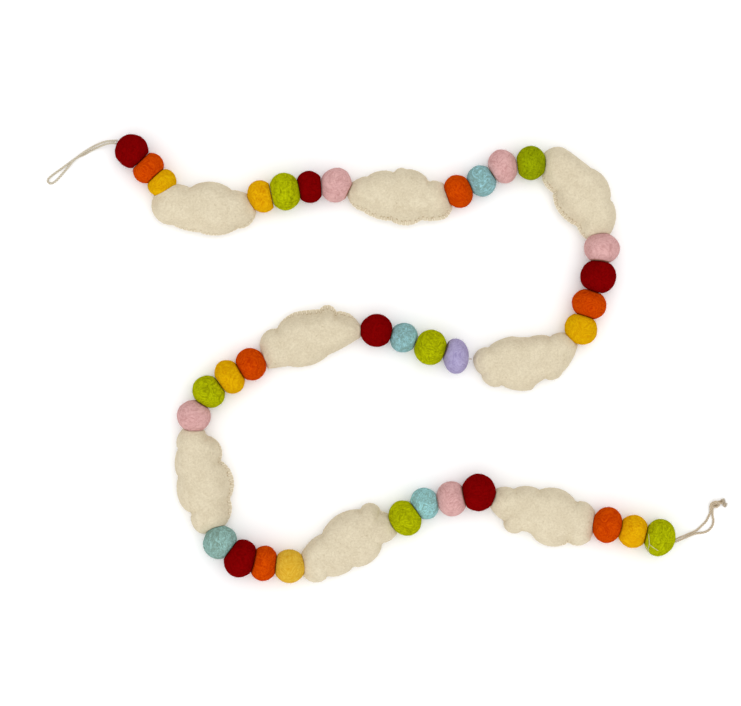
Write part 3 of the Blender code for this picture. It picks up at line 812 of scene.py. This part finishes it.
# A section through the edge, from the flat underside round the seam to the crown. Each row says what
# share of the way to the spine it has come, how far it stands out, and its height from the seam: first
# where the seam shows and both panels are pressed thin, then where it is turned under and the side bulges.
CLOUD_ROWS = (
    (0.36, 0, -11.2, -7.6), (0.29, 0, -10.7, -7.3), (0.22, 0, -9.3, -6.6), (0.175, 0, -8, -6),
    (0.15, 0, -7.1, -5.5), (0.13, 0, -6.3, -5), (0.105, 0, -5.3, -4.3), (0.08, 0, -4.3, -3.6),
    (0.055, 0, -3.1, -2.8), (0.03, 0.05, -2, -1.9), (0.012, 0.2, -1.2, -1.2), (0, 0.32, -0.65, -0.65),
    (0, 0.36, -0.3, -0.3), (0, 0, 0, 0), (0, 0.36, 0.3, 0.4), (0, 0.34, 0.65, 1.2),
    (0.012, 0.2, 0.8, 2.6), (0.03, 0.05, 1, 4.6), (0.055, 0, 1.4, 7.2), (0.08, 0, 1.9, 9.4),
    (0.105, 0, 2.6, 11.2), (0.13, 0, 3.5, 12.7), (0.15, 0, 4.3, 13.8), (0.175, 0, 5.3, 14.9),
    (0.22, 0, 7.2, 16.5), (0.28, 0, 9.5, 17.9), (0.36, 0, 12.1, 19.2), (0.46, 0, 14.4, 20.1),
    (0.58, 0, 16.1, 20.6), (0.72, 0, 17, 20.8), (0.86, 0, 17.3, 20.9), (1, 0, 17.3, 20.9),
)
SEAM_ROW = 13
FLAT_ROWS = (1.0, 0.68)
# A leg runs about this far over the felt from the edge, where it pulls the panel into a small hole. It
# is shorter by up to this share where less of the seam shows, and strays by up to another.
LEG_LENGTH = 5.4
LEG_HIDDEN = 0.65
LEG_STRAY = 0.5
LEG_STRAY_SIZE = 2.3
LEG_DENT = 0.45
HOLE_DENT = 0.9
# Half the width of the dent under a leg, and of the hole, and how far past the leg's end the hole's painted
# shade is darkest.
DENT_WIDTH = 0.8
HOLE_WIDTH = 0.9
HOLE_OFFSET = 0.3
# Between two stitches the edge puffs out this much, over this distance from the seam.
EDGE_PUFF = 0.18
EDGE_WIDTH = 2.2
# The crease beside a leg gets this much of the hole's painted shade, and lies this far from the leg's middle.
CREASE_SHADE = 0.2
CREASE_OFFSET = 0.75
CREASE_WIDTH = 0.35
# Where less of the seam shows than this, no thread does.
LEAST_SHOWN = 0.3
# A hand sews unevenly: a stitch strays from its even place by up to this many samples.
STITCH_STRAY = 2.6
# Where the seam is turned under, the edge is drawn in by this much, over this height.
SEAM_TUCK = 1.3
TUCK_HEIGHT = 3.0
# The middle of a leg's thread lies this high on the felt.
THREAD_LIFT = 0.22
# Near a ball the cloud's end is full, over about this distance. It rises to this height within this
# share of the way to the spine.
END_FULLNESS = 10.5
END_HEIGHT = 22.5
END_RISE = 0.035
# The end also reaches this far under the ball, over this distance along the edge.
END_REACH = 3.0
END_WIDTH = 14.0
# A ball further off than this doesn't press on the cloud's end.
LOOSE_GAP = 1.5
# A notch of the outline this deep puckers the felt this much, over this share of the way to the spine.
# The lower panel puckers by only a part of it.
NOTCH_DEPTH = 0.5
PUCKER_DEPTH = 0.7
PUCKER_REACH = 0.2
LOWER_PUCKER = 0.4
# The sewing's relief fades out this fast on the way to the spine, and the lumps are full from this share.
RELIEF_FADE = 2.5
LUMPS_FULL = 0.3
# What is lower than this is the flat underside, which has no relief.
FLAT_HEIGHT = 0.4
# A ball is looked at for places within this share of its size.
BALL_NEAR = 0.56
CLOUD_TOP = 28.5
CLOUD_LUMP_HEIGHT = 0.7
CLOUD_LUMP_SIZE = 26.0
CLOUD_DENT_HEIGHT = 0.22
CLOUD_DENT_SIZE = 8.0
CLOUD_FUZZ = (0.09, 1.6, 0.028, 0.45)

# An outline is a chain of arcs, clockwise on the sheet: each starts at the x and y of its own point and
# passes through those of a second one, and ends where the next starts.
CLOUD_ARCS = (
    (
        (190, 186.6, 215, 181.3), (232, 189.4, 249, 196.6), (255, 213, 250.5, 223.6),
        (238, 228.6, 215, 235.6), (199, 232.2, 186, 230.4), (172, 225.2, 157, 219.8),
        (150.8, 207, 156, 192.8), (176, 184.4, 183, 184.6),
    ),
    (
        (348.5, 192, 354.5, 181.2), (367.5, 175.4, 378, 170.4), (394, 171.4, 401.5, 166.8),
        (406.5, 168.2, 414, 169), (421.5, 172.4, 426.5, 176.6), (429, 180.8, 440, 181.4),
        (447, 197, 451, 208.6), (444.5, 218.6, 434, 220.4), (421, 220, 408.5, 224.8),
        (391, 220.4, 377, 218.2), (363, 211, 352.5, 204.6),
    ),
    (
        (544.5, 170, 549, 148.6), (567, 148.2, 580, 157.2), (592, 167, 608, 180.6),
        (611.8, 199, 617.2, 215), (609.5, 233.5, 598, 238.5), (586, 238.5, 579.6, 231),
        (576.8, 225.6, 566.5, 219.8), (559, 211.6, 554.8, 203), (553.4, 192.2, 547, 187),
    ),
    (
        (472.4, 359, 477.5, 350), (488, 346.4, 499, 339.2), (512, 335.5, 521, 336.3),
        (530, 336.1, 541, 334.2), (550, 335.5, 568, 335), (577.2, 347, 573, 360),
        (563.4, 373, 557, 379.6), (546, 379.8, 538.6, 384), (532.6, 390.6, 521, 391.6),
        (502, 386.4, 490.5, 386.6), (480.6, 375, 474.8, 368),
    ),
    (
        (259.5, 344, 264.5, 332), (276.5, 328.2, 285.5, 317.2), (299, 311.4, 310, 310.6),
        (320, 309.2, 329, 305.4), (336, 312, 348, 313.5), (357, 323, 361, 330),
        (357, 339, 346, 346.5), (329, 355.2, 312.5, 365.4), (289, 366.8, 279, 368.2),
        (269, 369, 263.5, 356),
    ),
    (
        (176.6, 449, 178.4, 433.4), (207, 435.8, 218, 441.8), (220.6, 460.6, 231.8, 474.6),
        (229.6, 498.8, 231.2, 511), (225, 523.6, 212, 532), (200, 534, 192.6, 527.6),
        (190.2, 514, 182.6, 508.6), (178, 500.6, 175.6, 489), (176.8, 477.6, 173.6, 463),
    ),
    (
        (302.5, 573.5, 304.5, 548), (321, 533.4, 334, 516.6), (359.6, 508.6, 370.6, 502.4),
        (380.6, 511.2, 391.4, 518), (396.5, 534, 393, 539), (383, 544.5, 375.6, 559.6),
        (354, 568.1, 345, 574.6), (328, 577.8, 314, 583.4),
    ),
    (
        (489.5, 501, 499.5, 487.8), (514, 488.2, 526, 485.4), (540, 489, 562, 489),
        (577, 501, 590.5, 504.4), (594.5, 514, 592.8, 528), (591, 540.4, 582, 545.9),
        (568.5, 542.8, 550, 547.3), (534, 539.2, 528.8, 534), (521, 532.8, 511, 534),
        (502.8, 521.4, 494.4, 513.4),
    ),
)
# How much of the seam shows round each cloud: the least share, then places on the edge where more of it
# shows, as x, y, how far that reaches and how much.
SHOWN_SEAMS = (
    (0.3, (200, 232, 30, 0.4), (252, 222, 16, 0.5), (155, 196, 12, 0.3)),
    (0.25, (398, 222, 36, 0.8), (356, 206, 18, 0.7), (446, 216, 20, 0.7)),
    (0.2, (560, 198, 26, 0.9), (574, 219, 16, 0.7), (547, 178, 14, 0.8), (588, 230, 9, 0.6)),
    (0.1,),
    (0.2, (312, 309, 40, 0.8), (346, 312, 18, 0.5)),
    (0.2, (228, 478, 36, 0.8), (228, 515, 16, 0.4)),
    (0.2, (386, 515, 14, 0.6)),
    (0.2, (568.5, 543, 12, 0.6)),
)


def arc_points(start, through, end, spacing):
    """Points along the arc through three places, from its start up to but without its end."""
    a, b, c = Vector(start), Vector(through), Vector(end)
    turn = (b - a).cross(c - a)
    chord = c - a
    if abs(turn) < 0.02 * chord.length_squared:
        steps = max(1, round(chord.length / spacing))
        return [a + chord * step / steps for step in range(steps)]
    to_b, to_c = b - a, c - a
    centre = a + Vector(
        (
            (to_c.y * to_b.length_squared - to_b.y * to_c.length_squared) / (2 * turn),
            (to_b.x * to_c.length_squared - to_c.x * to_b.length_squared) / (2 * turn),
        )
    )
    spoke = a - centre
    angle = math.atan2(spoke.cross(c - centre), spoke.dot(c - centre))
    if angle * turn < 0:
        angle += math.copysign(2 * math.pi, turn)
    steps = max(2, round(abs(angle) * spoke.length / spacing))
    return [centre + Matrix.Rotation(angle * step / steps, 2) @ spoke for step in range(steps)]


def cloud_outline(arcs):
    """The outline in equal short steps, a whole number of them to each stitch."""
    line = []
    for arc, following in zip(arcs, arcs[1:] + arcs[:1]):
        line += arc_points(arc[:2], arc[2:], following[:2], ARC_SPACING)
    line = [on_sheet(*place) for place in line]
    line.append(line[0].copy())
    around = sum((after - before).length for before, after in zip(line, line[1:]))
    stitches = round(around / (STITCH_PITCH * MM))
    outline = even_points(line, around / (stitches * SAMPLES_PER_STITCH))[:-1]
    for _ in range(4):
        count = len(outline)
        outline = [
            (outline[i - 1] + 2 * outline[i] + outline[(i + 1) % count]) / 4 for i in range(count)
        ]
    return outline


def spine_of(outline, enter, leave):
    """For each point of the outline, the nearest one on the cloud's spine, free and stepped."""
    middle = sum(outline, Vector()) / len(outline)
    along = (leave - enter).normalized()
    aside = Vector((-along.y, along.x, 0.0))
    half_length = max(abs((point - middle).dot(along)) for point in outline)
    half_width = max(abs((point - middle).dot(aside)) for point in outline)
    half_spine = half_length - half_width
    free, stepped = [], []
    for point in outline:
        reach = max(-half_spine, min(half_spine, (point - middle).dot(along)))
        step = SPINE_STEP * MM
        free.append(middle + along * reach)
        stepped.append(middle + along * max(-half_spine, min(half_spine, round(reach / step) * step)))
    return free, stepped


def shown_share(edge, shown):
    """How much of the seam shows at this point of the edge, from nought to one."""
    least, *places = shown
    share = least
    for x, y, reach, amount in places:
        apart = (edge - on_sheet(x, y)).length / (reach * MM)
        share += amount * math.exp(-(apart**2))
    return min(1.0, share)


def stitch_relief(from_seam, leg_length, from_stitch, shown):
    """How far the felt stands out near the nearest stitch, which pulls it in along the legs."""
    near = math.exp(-((from_stitch / DENT_WIDTH) ** 2))
    edge = math.exp(-((from_seam / EDGE_WIDTH) ** 2))
    relief = EDGE_PUFF * (1.0 - 2.0 * near) * edge
    relief -= LEG_DENT * near * math.exp(-(((from_seam - leg_length / 2) / 2.0) ** 2))
    relief -= HOLE_DENT * near * math.exp(-(((from_seam - leg_length) / HOLE_WIDTH) ** 2))
    return relief * shown


def thread_shadow(from_seam, leg_length, from_stitch, shown):
    """How much painted shade the felt gets in the hole of a stitch and in the crease beside its leg."""
    past_leg = from_seam - leg_length - HOLE_OFFSET
    hole = math.exp(-((past_leg / HOLE_WIDTH) ** 2) - (from_stitch / HOLE_WIDTH) ** 2)
    beside = 0.0
    if from_seam < leg_length:
        beside = math.exp(-(((from_stitch - CREASE_OFFSET) / CREASE_WIDTH) ** 2))
    return min(1.0, hole + CREASE_SHADE * beside) * shown


def section_at(edge, level, core, core_at_top, shown, wander, fullness):
    """A section through the cloud without its small lumps: places, outward directions, ways from the seam."""
    seam_height = SEAM_HEIGHT - SEAM_DROP * (1.0 - shown) + wander * shown
    places = []
    for share, out, open_height, turned_height in CLOUD_ROWS:
        height = open_height * shown + turned_height * (1.0 - shown) + seam_height - wander * shown * share
        if height > seam_height:
            left = math.exp(-share / END_RISE)
            risen = END_HEIGHT * (1.0 - left) + seam_height * left
            height = max(height, height + (risen - height) * fullness)
        place = edge.lerp(core, share) + level * (out - EDGE_INSET) * (1.0 - share) * MM
        place.z = max(0.0, height) * MM
        places.append(place)
        tucked = max(0.0, 1.0 - abs(height - seam_height) / TUCK_HEIGHT) * (1.0 - shown)
        place -= level * tucked * SEAM_TUCK * MM
    places[-1] = core_at_top + Vector((0.0, 0.0, CLOUD_TOP * MM))
    section = []
    for row, place in enumerate(places):
        run = places[min(row + 1, len(places) - 1)] - places[max(0, row - 1)]
        facing = Vector((0.0, 0.0, 1.0))
        if row < len(places) - 1:
            facing = (level * run.z + Vector((0.0, 0.0, -run.dot(level)))).normalized()
        section.append((place, facing))
    way = [0.0] * len(places)
    for row in range(SEAM_ROW + 1, len(places)):
        way[row] = way[row - 1] + (places[row] - places[row - 1]).length / MM
    for row in range(SEAM_ROW - 1, -1, -1):
        way[row] = way[row + 1] + (places[row] - places[row + 1]).length / MM
    return [(place, facing, from_seam) for (place, facing), from_seam in zip(section, way)]


def pressed_by(place, pressing):
    """The place, moved out of the balls that press on the cloud, and whether it had to move."""
    moved = False
    for ball, middle, turn, flats in pressing:
        apart = place - middle
        across, along = BALLS[ball - 1][3:]
        if apart.length > across * BALL_NEAR * MM:
            continue
        facing = apart.normalized()
        reach = ball_reach(turn.inverted() @ facing, facing, middle, flats, across, along) + TOUCH_GAP * MM
        if apart.length < reach:
            place = middle + facing * reach
            moved = True
    return place, moved


def reach_under_balls(outline, faces, pressing):
    """Moves the two ends of the outline a little way under the balls that press on them."""
    for face, (ball, middle, _, _) in zip(faces, pressing):
        towards = Vector((middle.x - face.x, middle.y - face.y, 0.0))
        if towards.length > (BALLS[ball - 1][4] / 2 + LOOSE_GAP) * MM:
            continue
        towards.normalize()
        for index, edge in enumerate(outline):
            near = math.exp(-(((edge - face).length / (END_WIDTH * MM)) ** 2))
            outline[index] = edge + towards * near * END_REACH * MM


def stitched_places(number, count):
    """Which of the outline's points have a stitch."""
    stitched = []
    for even_place in range(0, count, SAMPLES_PER_STITCH):
        strayed = noise.noise(Vector((even_place * 0.37, number * 4.1, 0.5)))
        stitched.append((even_place + round(strayed * STITCH_STRAY)) % count)
    return stitched


def cloud_shape_of(number, thread_points, thread_lines):
    """The cloud's shape. It also adds the middle lines of its sewing to the two lists."""
    outline = cloud_outline(CLOUD_ARCS[number - 1])
    count = len(outline)
    enter, leave = (on_sheet(*face) for face in CLOUD_FACES[number - 1])
    free, stepped = spine_of(outline, enter, leave)
    last_ball = number * BALLS_PER_CLOUD
    pressing = [(ball, *ball_form(ball)) for ball in (last_ball - 1, last_ball)]
    offset = Vector((number * 5.1, 0.0, number * 2.3))
    shape = bmesh.new()
    hollow = shape.verts.layers.float.new("hollow")
    columns = []
    runs = []
    reach_under_balls(outline, (enter, leave), pressing)
    stitched = stitched_places(number, count)
    for index in range(count):
        edge = outline[index]
        tangent = (outline[(index + 1) % count] - outline[index - 1]).normalized()
        level = Vector((-tangent.y, tangent.x, 0.0))
        shown = shown_share(edge, SHOWN_SEAMS[number - 1])
        fullness = 0.0
        for face in (enter, leave):
            fullness = max(fullness, math.exp(-(((edge - face).length / (END_FULLNESS * MM)) ** 2)))
        shown *= 1.0 - fullness
        leg_length = LEG_LENGTH * (0.85 + LEG_STRAY * noise.noise(edge / MM / LEG_STRAY_SIZE + offset))
        leg_length *= 1.0 - LEG_HIDDEN + LEG_HIDDEN * shown
        before, after = outline[index - 4], outline[(index + 4) % count]
        notch = min(1.0, max(0.0, ((before + after) / 2 - edge).dot(level)) / (NOTCH_DEPTH * MM))
        notch *= 1.0 - fullness
        wander = SEAM_WANDER * noise.noise(edge / MM / SEAM_WANDER_SIZE + offset)
        steps_off = min(min(abs(index - place), count - abs(index - place)) for place in stitched)
        from_stitch = steps_off * STITCH_PITCH / SAMPLES_PER_STITCH
        column = []
        for flat in FLAT_ROWS:
            core = stepped[index] if flat == 1.0 else free[index]
            column.append(shape.verts.new(edge.lerp(core, flat)))
        legs = {-1: [], 1: []}
        run_place = None
        section = section_at(edge, level, free[index], stepped[index], shown, wander, fullness)
        for row, (place, facing, from_seam) in enumerate(section):
            share = CLOUD_ROWS[row][0]
            at = place / MM
            upper = row > SEAM_ROW
            relief = stitch_relief(from_seam, leg_length, from_stitch, shown)
            relief *= max(0.0, 1.0 - share * RELIEF_FADE)
            pucker = PUCKER_DEPTH * notch * math.exp(-((share / PUCKER_REACH) ** 2))
            relief -= pucker * (1.0 if upper else LOWER_PUCKER)
            lump = CLOUD_LUMP_HEIGHT * noise.noise(at / CLOUD_LUMP_SIZE + offset)
            relief += min(1.0, share / LUMPS_FULL) * lump
            relief += CLOUD_DENT_HEIGHT * noise.noise(at / CLOUD_DENT_SIZE - offset)
            if at.z > FLAT_HEIGHT:
                place = place + facing * relief * MM
            place, moved = pressed_by(place, pressing)
            place.z = max(place.z, 0.0)
            column.append(shape.verts.new(place))
            # Painted shade in the stitch holes and beside the legs.
            column[-1][hollow] = thread_shadow(from_seam, leg_length, from_stitch, shown)
            if row == SEAM_ROW and not moved:
                run_place = place + level * EDGE_INSET * MM
            if not moved and from_seam < leg_length and abs(row - SEAM_ROW) > 2:
                legs[1 if upper else -1].append((from_seam, place + facing * THREAD_LIFT * MM))
        columns.append(column)
        runs.append(None)
        if run_place is None or shown < LEAST_SHOWN:
            continue
        runs[-1] = len(thread_points)
        thread_points.append(run_place)
        if steps_off:
            continue
        for leg in legs.values():
            last = runs[-1]
            for _, place in sorted(leg, key=lambda item: item[0]):
                thread_lines.append((last, len(thread_points)))
                last = len(thread_points)
                thread_points.append(place)
    for here, there in zip(runs, runs[1:] + runs[:1]):
        if here is not None and there is not None:
            thread_lines.append((here, there))
    for before, column in zip(columns[-1:] + columns[:-1], columns):
        for row in range(len(column) - 1):
            shape.faces.new((before[row], column[row], column[row + 1], before[row + 1]))
    bmesh.ops.remove_doubles(shape, verts=shape.verts, dist=0.01 * MM)
    return shape


cream_shares = {"Mottling": 0.7, "Grain": 1.0, "Swirls": 0.5, "Creases": 0.12, "Specks": 0.4}
felt_cream = felt_material("felt_cream", CREAM, CREAM_DARK, 0.35, 0.3, cream_shares)
thread_points = []
thread_lines = []
for cloud_number in range(1, len(CLOUD_ARCS) + 1):
    name = f"felt_cloud_{cloud_number}"
    cloud_shape = cloud_shape_of(cloud_number, thread_points, thread_lines)
    cloud = add_piece(name, finished_mesh(name, cloud_shape), felt_cream)
    grow_fuzz(cloud, CLOUD_FUZZ, 200 + cloud_number)
    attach(cloud, "root")
    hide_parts(f"cloud_{cloud_number}")


# Blanket stitches. Cream cotton thread: each stitch goes over the edge with a leg on either panel, and
# runs along the edge to the next.
STITCH_RADIUS = 0.42


def thread_tree():
    """Geometry nodes that make a round thread of every line of a mesh."""
    inputs = {"Geometry": "Geometry", "Thread Radius": "Float", "Material": "Material"}
    tree, given, made = new_group("threads", "GeometryNodeTree", inputs, {"Geometry": "Geometry"})
    lines = add_node(tree, "GeometryNodeMeshToCurve", {0: given["Geometry"]})
    ring = add_node(
        tree, "GeometryNodeCurvePrimitiveCircle", {"Resolution": 6, "Radius": given["Thread Radius"]}
    )
    thread = add_node(
        tree, "GeometryNodeCurveToMesh", {"Fill Caps": True, "Curve": lines, "Profile Curve": ring}
    )
    finish_geometry(tree, thread, given["Material"], made)
    return tree


stitch_cotton = twine_material("stitch_cotton", (0.88, 0.81, 0.66, 1.0), (0.66, 0.57, 0.42, 1.0))
stitch_mesh = bpy.data.meshes.new("cloud_stitches")
stitch_mesh.from_pydata(thread_points, thread_lines, [])
stitches = add_piece("cloud_stitches", stitch_mesh, stitch_cotton)
run_nodes(stitches, thread_tree(), {"Thread Radius": STITCH_RADIUS * MM, "Material": stitch_cotton})
stitches.data.shade_smooth()
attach(stitches, "root")


# Thread ends. White sewing thread was wound between the last yellow and lime balls and cut off, and its
# ends lie over the lime one.
THREAD_END_DIAMETER = 0.55
THREAD_END_TURN = 1.6
THREAD_END_SIDES = 10
THREAD_END_ROUTES = (
    ((646.9, 533), (647.2, 536.4), (647.5, 540), (647.5, 543.6), (647.1, 547), (646.6, 550)),
    ((647.4, 541.6), (648.2, 543.6), (650.4, 545.4), (653.2, 547.4), (656.4, 549.6)),
    ((642.6, 542.6), (643.6, 544.6), (645.2, 546.8), (647, 549.4), (648, 551.4)),
)


def height_over_balls(place, numbers):
    """The height in metres of the highest of these balls at a place, or of the sheet where there is none."""
    height = 0.0
    for number in numbers:
        middle = ball_middle(number)
        radius = BALLS[number - 1][3] / 2 * MM
        apart = Vector((place.x - middle.x, place.y - middle.y)).length
        if apart < radius:
            height = max(height, middle.z + math.sqrt(radius**2 - apart**2))
    return height


thread_white = twine_material("thread_white", (0.86, 0.82, 0.62, 1.0), (0.62, 0.56, 0.36, 1.0))
ends_shape = bmesh.new()
for route in THREAD_END_ROUTES:
    places = []
    for x, y in route:
        place = on_sheet(x, y)
        place.z = height_over_balls(place, (33, 34)) + THREAD_END_DIAMETER / 2 * MM
        places.append(place)
    end_points = smooth_route(places, THIN_RING_STEP * MM)
    add_twine(ends_shape, end_points, THREAD_END_DIAMETER, THREAD_PLIES, THREAD_END_TURN, THREAD_END_SIDES)
thread_ends = add_piece("thread_ends", finished_mesh("thread_ends", ends_shape), thread_white)
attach(thread_ends, "root")


# Sheet and light. The garland lies on plain white card under a broad soft light from the sheet's upper
# side, with white all round that fills the shadows.
FLOOR_SIZE = 6.0
floor_shape = bmesh.new()
bmesh.ops.create_grid(floor_shape, x_segments=1, y_segments=1, size=FLOOR_SIZE / 2)
floor_mesh = bpy.data.meshes.new("floor")
floor_shape.to_mesh(floor_mesh)
floor_shape.free()
floor_material, _, floor_shader = new_material("white_card", 0.9)
floor_shader.inputs["Base Color"].default_value = (0.95, 0.95, 0.95, 1.0)
floor = add_piece("floor", floor_mesh, floor_material)
floor.location.z = -0.2 * MM

world = bpy.data.worlds.new("studio")
world.use_nodes = True
background = world.node_tree.nodes["Background"]
background.inputs["Color"].default_value = (1.0, 1.0, 1.0, 1.0)
background.inputs["Strength"].default_value = 0.58
bpy.context.scene.world = world
# Photographs of this kind are printed with plain contrast and a pure white ground.
bpy.context.scene.view_settings.view_transform = "Standard"

for lamp_name, direction, energy, softness, shadow in (
    ("key_softbox", (-0.32, -0.36, -1.0), 0.92, 64.0, True),
    ("fill_softbox", (0.38, 0.5, -1.0), 0.15, 120.0, True),
    ("sheet_glow", (0.3, 0.75, -1.0), 1.42, 120.0, False),
):
    lamp_data = bpy.data.lights.new(lamp_name, "SUN")
    lamp_data.energy = energy
    lamp_data.angle = math.radians(softness)
    lamp_data.use_shadow = shadow
    lamp = bpy.data.objects.new(lamp_name, lamp_data)
    lamp.rotation_euler = Vector(direction).to_track_quat("-Z", "Y").to_euler()
    bpy.context.scene.collection.objects.link(lamp)
